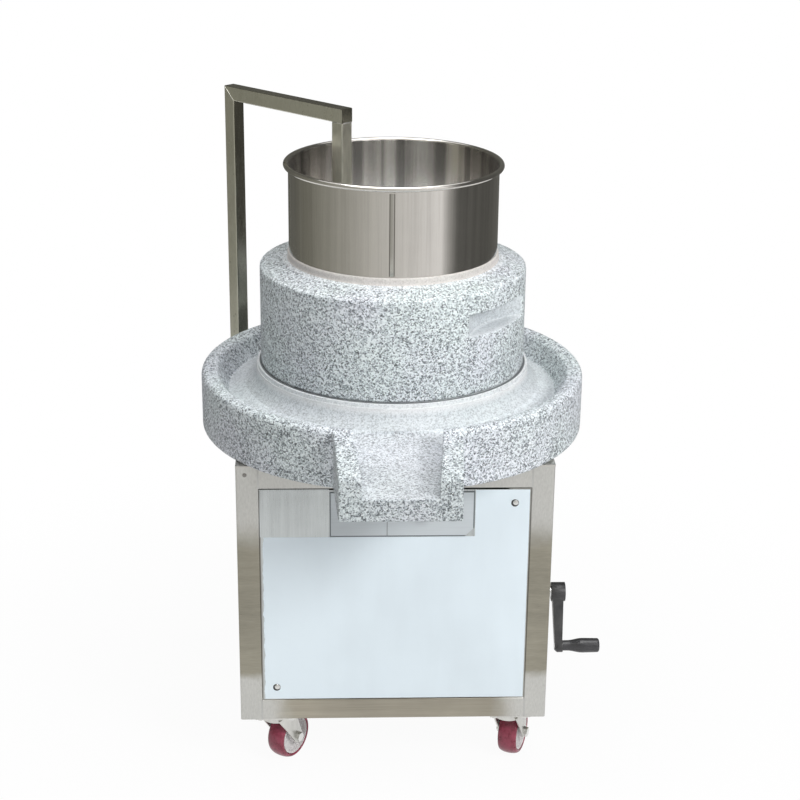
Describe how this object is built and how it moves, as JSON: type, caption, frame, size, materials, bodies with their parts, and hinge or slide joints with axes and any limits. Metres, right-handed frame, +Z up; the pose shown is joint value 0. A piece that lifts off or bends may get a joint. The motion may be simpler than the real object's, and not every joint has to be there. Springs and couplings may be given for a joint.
{
  "type": "stone grain mill",
  "caption": "Stone grain mill: steel hopper on a turning runner stone, round granite trough with a front spout, fixed stirrer arm, wheeled steel cabinet and side crank lift.",
  "frame": {"origin": "on the mill's vertical axis at floor level", "axes": "+Z up along the spindle, the spout points along -Y and the crank is on the +X side"},
  "size_m": [0.6333, 0.681, 0.9845],
  "materials": {
    "frame_steel": "brushed, ground at the welds",
    "plate_steel": "brushed",
    "panel_steel": "brushed",
    "film_steel": "brushed, covered with pale protective film",
    "screw_steel": "bright",
    "control_grey": "satin",
    "green_plastic": "gloss",
    "red_plastic": "gloss",
    "black_plastic": "matte",
    "dark_box": "matte",
    "granite": "fine speckled, smooth ground",
    "granite_runner": "speckled, smooth ground",
    "hopper_steel": "polished",
    "arm_steel": "polished",
    "drive_steel": "turned",
    "cast_iron": "machined",
    "bronze": "machined",
    "belt_rubber": "matte",
    "motor_paint": "semi-gloss",
    "black_paint": "semi-gloss",
    "zinc": "zinc plated",
    "white_plastic": "matte",
    "red_tyre": "satin"
  },
  "bodies": {
    "cabinet": {"frame_posts": "frame_steel", "frame_rails": "frame_steel", "top_plate": "plate_steel", "bottom_plate": "plate_steel", "front_panel": "film_steel", "left_panel": "panel_steel", "right_panel": "panel_steel", "rear_panel": "panel_steel", "panel_ledges": "frame_steel", "panel_screws": "screw_steel", "control_plate": "control_grey", "control_sockets": "black_plastic", "control_box": "dark_box", "cable_gland": "black_plastic", "trough_stone": "granite", "bed_stone": "granite", "bed_bush": "bronze", "bearing_housing": "cast_iron", "pulley_bearings": "drive_steel", "drive_belt": "belt_rubber", "gear_motor": "motor_paint", "jack_housing": "cast_iron", "crank_bush": "black_paint", "arm_post": "arm_steel", "arm_beam": "arm_steel", "arm_drop": "arm_steel", "arm_socket": "arm_steel", "castor_plates": "zinc"},
    "lift": {"jack_screw": "drive_steel", "thrust_bearing": "drive_steel"},
    "runner": {"runner_stone": "granite_runner", "hopper": "hopper_steel", "rynd": "drive_steel", "spindle": "drive_steel"},
    "driven_pulley": {"driven_pulley": "cast_iron"},
    "motor_pulley": {"motor_pulley": "cast_iron", "motor_shaft": "drive_steel"},
    "crank": {"crank_shaft": "drive_steel", "crank_arm": "black_paint", "grip_bolt": "screw_steel"},
    "grip": {"crank_grip": "black_plastic"},
    "start_button": {"start_button": "green_plastic"},
    "stop_button": {"stop_button": "red_plastic"},
    "speed_knob": {"speed_knob": "black_plastic"},
    "castor_fl": {"castor_fork_fl": "zinc", "wheel_axle_fl": "screw_steel"},
    "wheel_fl": {"wheel_hub_fl": "white_plastic", "tyre_fl": "red_tyre"},
    "castor_fr": {"castor_fork_fr": "zinc", "wheel_axle_fr": "screw_steel"},
    "wheel_fr": {"wheel_hub_fr": "white_plastic", "tyre_fr": "red_tyre"},
    "castor_rl": {"castor_fork_rl": "zinc", "wheel_axle_rl": "screw_steel"},
    "wheel_rl": {"wheel_hub_rl": "white_plastic", "tyre_rl": "red_tyre"},
    "castor_rr": {"castor_fork_rr": "zinc", "wheel_axle_rr": "screw_steel"},
    "wheel_rr": {"wheel_hub_rr": "white_plastic", "tyre_rr": "red_tyre"}
  },
  "joints": [
    {"name": "lift_slide", "type": "slide", "parent": "cabinet", "child": "lift", "axis": [0, 0, 1], "range_m": [0, 0.03]},
    {"name": "runner_spin", "type": "hinge", "parent": "lift", "child": "runner", "pos_m": [0, 0, 0.7], "axis": [0, 0, 1], "continuous": true},
    {"name": "driven_pulley_spin", "type": "hinge", "parent": "cabinet", "child": "driven_pulley", "pos_m": [0, 0, 0.41], "axis": [0, 0, 1], "continuous": true},
    {"name": "motor_spin", "type": "hinge", "parent": "cabinet", "child": "motor_pulley", "pos_m": [0, 0.15, 0.41], "axis": [0, 0, 1], "continuous": true},
    {"name": "crank_turn", "type": "hinge", "parent": "cabinet", "child": "crank", "pos_m": [0.25, 0, 0.213], "axis": [1, 0, 0], "range_deg": [0, 2161]},
    {"name": "grip_spin", "type": "hinge", "parent": "crank", "child": "grip", "pos_m": [0.31, 0, 0.115], "axis": [1, 0, 0], "continuous": true},
    {"name": "start_press", "type": "slide", "parent": "cabinet", "child": "start_button", "axis": [0, 1, 0], "range_m": [0, 0.003], "stiffness_N_per_m": 400},
    {"name": "stop_press", "type": "slide", "parent": "cabinet", "child": "stop_button", "axis": [0, 1, 0], "range_m": [0, 0.003], "stiffness_N_per_m": 400},
    {"name": "speed_turn", "type": "hinge", "parent": "cabinet", "child": "speed_knob", "pos_m": [0.056, -0.205, 0.45196], "axis": [0, 1, 0], "range_deg": [-135, 135]},
    {"name": "swivel_fl", "type": "hinge", "parent": "cabinet", "child": "castor_fl", "pos_m": [-0.18, -0.158, 0.088], "axis": [0, 0, 1], "continuous": true},
    {"name": "roll_fl", "type": "hinge", "parent": "castor_fl", "child": "wheel_fl", "pos_m": [-0.16279, -0.13343, 0.0375], "axis": [-0.8192, 0.5736, 0], "continuous": true},
    {"name": "swivel_fr", "type": "hinge", "parent": "cabinet", "child": "castor_fr", "pos_m": [0.18, -0.158, 0.088], "axis": [0, 0, 1], "continuous": true},
    {"name": "roll_fr", "type": "hinge", "parent": "castor_fr", "child": "wheel_fr", "pos_m": [0.19124, -0.13018, 0.0375], "axis": [-0.9272, 0.3746, 0], "continuous": true},
    {"name": "swivel_rl", "type": "hinge", "parent": "cabinet", "child": "castor_rl", "pos_m": [-0.18, 0.198, 0.088], "axis": [0, 0, 1], "continuous": true},
    {"name": "roll_rl", "type": "hinge", "parent": "castor_rl", "child": "wheel_rl", "pos_m": [-0.19408, 0.22449, 0.0375], "axis": [-0.8829, -0.4695, 0], "continuous": true},
    {"name": "swivel_rr", "type": "hinge", "parent": "cabinet", "child": "castor_rr", "pos_m": [0.18, 0.198, 0.088], "axis": [0, 0, 1], "continuous": true},
    {"name": "roll_rr", "type": "hinge", "parent": "castor_rr", "child": "wheel_rr", "pos_m": [0.19408, 0.22449, 0.0375], "axis": [-0.8829, 0.4695, 0], "continuous": true}
  ],
  "couplings": [
    {"joint": "driven_pulley_spin", "follows": "runner_spin", "ratio": 1},
    {"joint": "motor_spin", "follows": "runner_spin", "ratio": 2.8456},
    {"joint": "crank_turn", "follows": "lift_slide", "rad_per_m": 1256.6}
  ]
}
